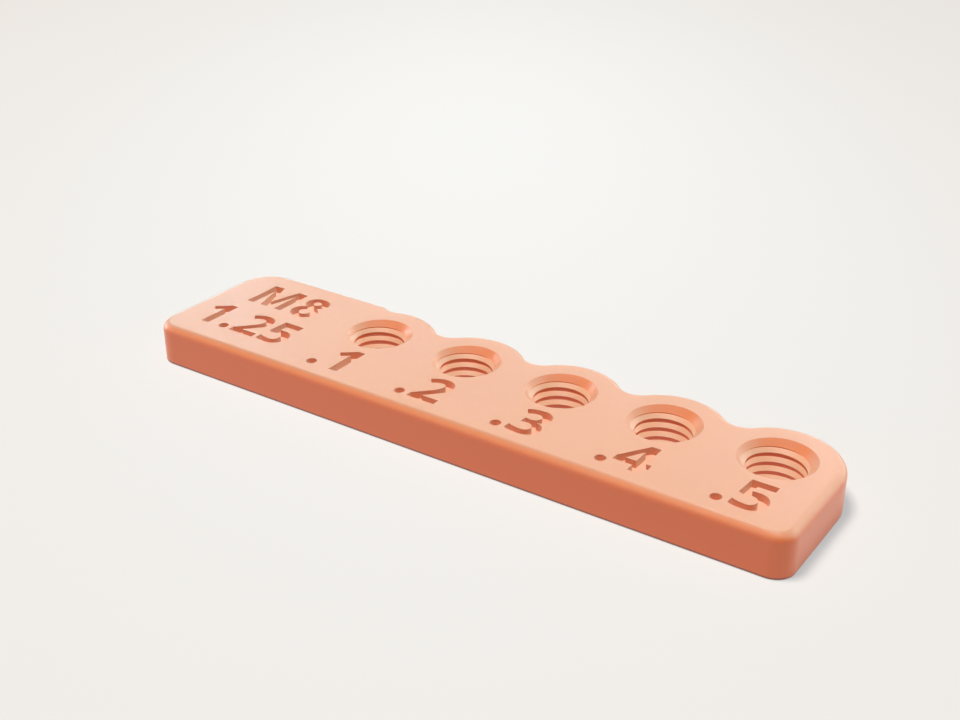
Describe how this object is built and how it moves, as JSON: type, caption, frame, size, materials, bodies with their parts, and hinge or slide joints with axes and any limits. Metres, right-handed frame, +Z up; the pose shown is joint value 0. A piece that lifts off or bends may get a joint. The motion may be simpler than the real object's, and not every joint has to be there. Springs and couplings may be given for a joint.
{
  "type": "thread gauge strip",
  "caption": "Flat moulded bar with a row of tapped holes in round lobes along one edge, each hole slightly wider than the last, and sunk size marks on its top.",
  "frame": {"origin": "centre of the strip's bounding box, on the flat face that it lies on", "axes": "+X along the strip from the plain marked block to the widest hole, +Y from the straight front edge to the lobed back edge, +Z up out of the marked face"},
  "size_m": [0.0936, 0.0226, 0.0055],
  "materials": {
    "orange_plastic": "smooth satin orange plastic"
  },
  "bodies": {
    "root": {"gauge_strip": "orange_plastic"}
  },
  "joints": []
}
